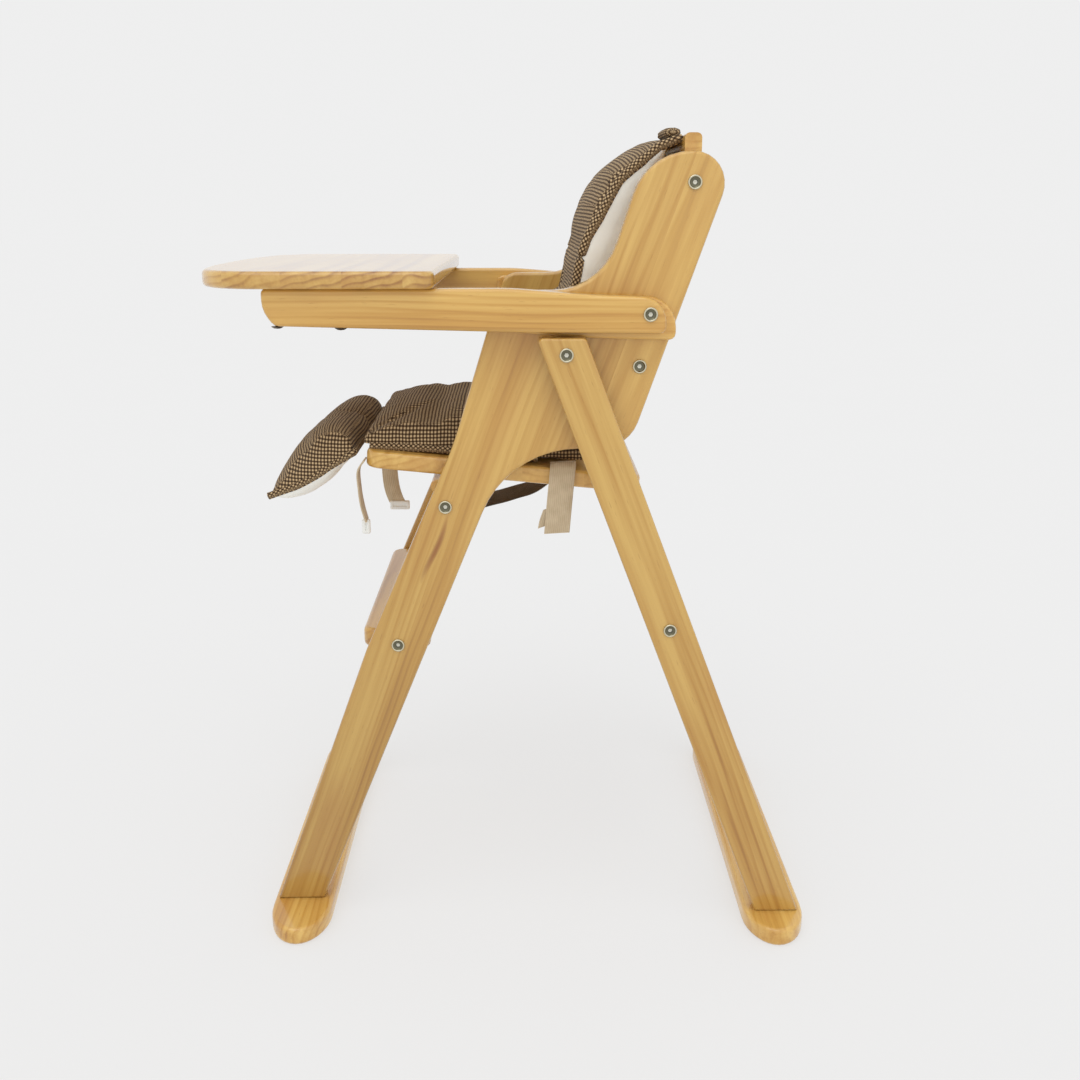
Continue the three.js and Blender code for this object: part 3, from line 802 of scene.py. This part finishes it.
def ribbon(name, node, centre, width_along, width, thickness, material):
    """A flat strap along smooth centre points, with rounded selvedges."""
    centre = [Vector(p) for p in centre]
    smoothed = []
    for i in range(len(centre) - 1):
        p0, p1, p2, p3 = (centre[min(max(i + k, 0), len(centre) - 1)] for k in (-1, 0, 1, 2))
        square = 2 * p0 - 5 * p1 + 4 * p2 - p3
        cube = 3 * p1 - p0 - 3 * p2 + p3
        for step in range(8):
            t = step / 8
            smoothed.append(0.5 * (2 * p1 + (p2 - p0) * t + square * t**2 + cube * t**3))
    smoothed.append(centre[-1])
    wide = Vector(width_along).normalized()
    work = bmesh.new()
    cloth = work.verts.layers.float_vector.new("cloth")
    section = [(-0.5, -0.25), (-0.47, -0.5), (0.0, -0.5), (0.47, -0.5), (0.5, -0.25)]
    section += [(0.5, 0.25), (0.47, 0.5), (0.0, 0.5), (-0.47, 0.5), (-0.5, 0.25)]
    rings = []
    travelled = 0.0
    for i, point in enumerate(smoothed):
        tangent = (smoothed[min(i + 1, len(smoothed) - 1)] - smoothed[max(i - 1, 0)]).normalized()
        out = wide.cross(tangent).normalized()
        if i:
            travelled += (point - smoothed[i - 1]).length
        ring = []
        for a, b in section:
            sway = 0.0006 * noise.noise(Vector((travelled * 40, a * 3, 1.7)))
            vertex = work.verts.new(point + wide * (a * width) + out * (b * thickness + sway))
            vertex[cloth] = (a * width, travelled, 0)
            ring.append(vertex)
        rings.append(ring)
    join_rings(work, rings)
    piece = object_from(work, name)
    smooth(dress(piece, material), 60)
    finish_piece(piece, "frame", *([node] if node else []))


def line_yz(x, points):
    """Side-view points as points in space at one distance from the middle."""
    return [(x, y, z) for y, z in side(points)]


ribbon(
    "buckle_strap_web", "buckle_strap",
    line_yz(0.155, [(-187, 566), (-195, 553), (-194.5, 530), (-192, 510), (-188, 494)]),
    ACROSS, 0.020, 0.0018, BEIGE_WEB,
)
ribbon(
    "adjuster_strap_web", "adjuster_strap",
    line_yz(0.060, [(-171, 550), (-171, 530), (-169, 510), (-164, 494), (-158, 486)]),
    (0, 1, 0.15), 0.019, 0.0018, BEIGE_WEB,
)
rear_y = 0.034 + SHIFT
ribbon(
    "rear_strap_web", "rear_strap",
    [
        (0.157, rear_y + 0.003, 0.5625), (0.166, rear_y + 0.003, 0.5620), (0.1715, rear_y + 0.002, 0.553),
        (0.173, rear_y - 0.001, 0.520), (0.172, rear_y - 0.004, 0.483),
    ],
    (0, 1, 0.06), 0.029, 0.0020, BEIGE_WEB,
)
ribbon(
    "rear_strap_tail", None,
    [(0.1695, rear_y - 0.012, 0.512), (0.169, rear_y - 0.016, 0.500), (0.168, rear_y - 0.018, 0.490)],
    (0, 1, 0.35), 0.016, 0.0014, BEIGE_WEB,
)
ribbon(
    "limit_band", "limit_strap", line_yz(0.0, [(-80, 471), (-60, 478), (-20, 489), (10, 500), (45, 527)]),
    ACROSS, 0.070, 0.0025, DARK_WEB,
)


PLATE_ROUNDING = 0.0022


def plate(name, node, centre, size, border):
    """A moulded plate: a rounded rectangle in the side view with a shallow recess inside its border."""
    work = bmesh.new()
    bmesh.ops.create_cube(work, size=1.0)
    bmesh.ops.scale(work, vec=size, verts=work.verts)
    bmesh.ops.bevel(work, geom=work.edges[:], offset=PLATE_ROUNDING, segments=4, profile=0.6, affect="EDGES")
    faces = [f for f in work.faces if abs(f.normal.x) > 0.99 and f.calc_area() > 2e-5]
    bmesh.ops.inset_individual(work, faces=faces, thickness=border, depth=0.0)
    bmesh.ops.inset_individual(work, faces=faces, thickness=0.0004, depth=-0.0012)
    bmesh.ops.translate(work, vec=centre, verts=work.verts)
    piece = object_from(work, name)
    smooth(dress(piece, WHITE_PLASTIC), 40)
    finish_piece(piece, "frame", node)


plate("waist_buckle_half", "waist_buckle", (0.155, -0.189 + SHIFT, 0.487), (0.0060, 0.0095, 0.0165), 0.0022)
plate(
    "strap_adjuster_frame", "strap_adjuster",
    (0.061, -0.160 + SHIFT, 0.4885), (0.005, 0.024, 0.011), 0.0018,
)

# ---------------------------------------------------------------- rolled cloth on the cushion's top


def roll(name, x0, x1, y, z, radius):
    """A flattened roll of check cloth that lies across the chair."""
    steps, sides = 14, 20
    work = bmesh.new()
    cloth = work.verts.layers.float_vector.new("cloth")
    rings = []
    for i in range(steps + 1):
        t = i / steps
        shrink = math.sqrt(max(0.05, 1 - abs(2 * t - 1) ** 6))
        ring = []
        for k in range(sides):
            angle = 2 * math.pi * k / sides
            uneven = noise.noise(Vector((t * 3, math.cos(angle) * 2, math.sin(angle) * 2)))
            r = radius * shrink * (1 + 0.12 * uneven)
            x = x0 + (x1 - x0) * t
            vertex = work.verts.new((x, y + 1.15 * r * math.cos(angle), z + 0.62 * r * math.sin(angle)))
            vertex[cloth] = (x, radius * angle, 0)
            ring.append(vertex)
        rings.append(ring)
    join_rings(work, rings)
    piece = object_from(work, name)
    smooth(dress(piece, CHECK))
    finish_piece(piece, "frame")


roll("top_roll", 0.070, 0.150, 0.152 + SHIFT, 0.9165, 0.0090)

# ---------------------------------------------------------------- floor, light and camera

FLOOR_GLOW = 0.588
SKY_STRENGTH = 0.86
CAMERA_DOWN = 16.0477
CAMERA_TURN = 0.7157
SENSOR_WIDTH = 36


def floor():
    """A pale floor that gives some light of its own, so the shadow on it stays faint."""
    bpy.ops.mesh.primitive_plane_add(size=60, location=(0, 0, 0))
    plane = bpy.context.object
    plane.name = "floor"
    s = Shader("floor_paint", 0.9, Specular_IOR_Level=0.0)
    place = s.node("TexCoord").outputs["Object"]
    tone = s.remap(s.noise(place, 3.0, 2.0), 0.3, 0.7, 0.0, 1.0)
    s.colour(s.mix(tone, (0.249,) * 3, (0.251,) * 3))
    s.bsdf.inputs["Emission Color"].default_value = (1, 1, 1, 1)
    s.bsdf.inputs["Emission Strength"].default_value = FLOOR_GLOW
    dress(plane, s.material)


floor()

scene = bpy.context.scene
scene.view_settings.view_transform = "Standard"
world = bpy.data.worlds.new("studio")
world.use_nodes = True
world.node_tree.nodes["Background"].inputs[0].default_value = (1.0, 1.0, 1.0, 1)
world.node_tree.nodes["Background"].inputs[1].default_value = SKY_STRENGTH
scene.world = world


def soft_sun(name, strength, spread, azimuth, elevation):
    """A broad, soft light. Azimuth is measured from the chair's front towards its left side."""
    data = bpy.data.lights.new(name, "SUN")
    data.energy = strength
    data.angle = math.radians(spread)
    sun = bpy.data.objects.new(name, data)
    scene.collection.objects.link(sun)
    a, e = math.radians(azimuth), math.radians(elevation)
    towards = Vector((math.sin(a) * math.cos(e), -math.cos(a) * math.cos(e), math.sin(e)))
    sun.rotation_mode = "QUATERNION"
    sun.rotation_quaternion = towards.to_track_quat("Z", "Y")


soft_sun("key", 0.62, 50, 60, 62)
soft_sun("side_fill", 0.35, 90, 110, 25)

camera = bpy.data.objects.new("camera", bpy.data.cameras.new("camera"))
scene.collection.objects.link(camera)
camera.location = (1.4348, -0.00497 + SHIFT, 0.838)
camera.rotation_euler = (math.radians(90 - CAMERA_DOWN), 0, math.radians(90 - CAMERA_TURN))
camera.data.sensor_width = SENSOR_WIDTH
camera.data.lens = SENSOR_WIDTH * 115 / 108
scene.camera = camera
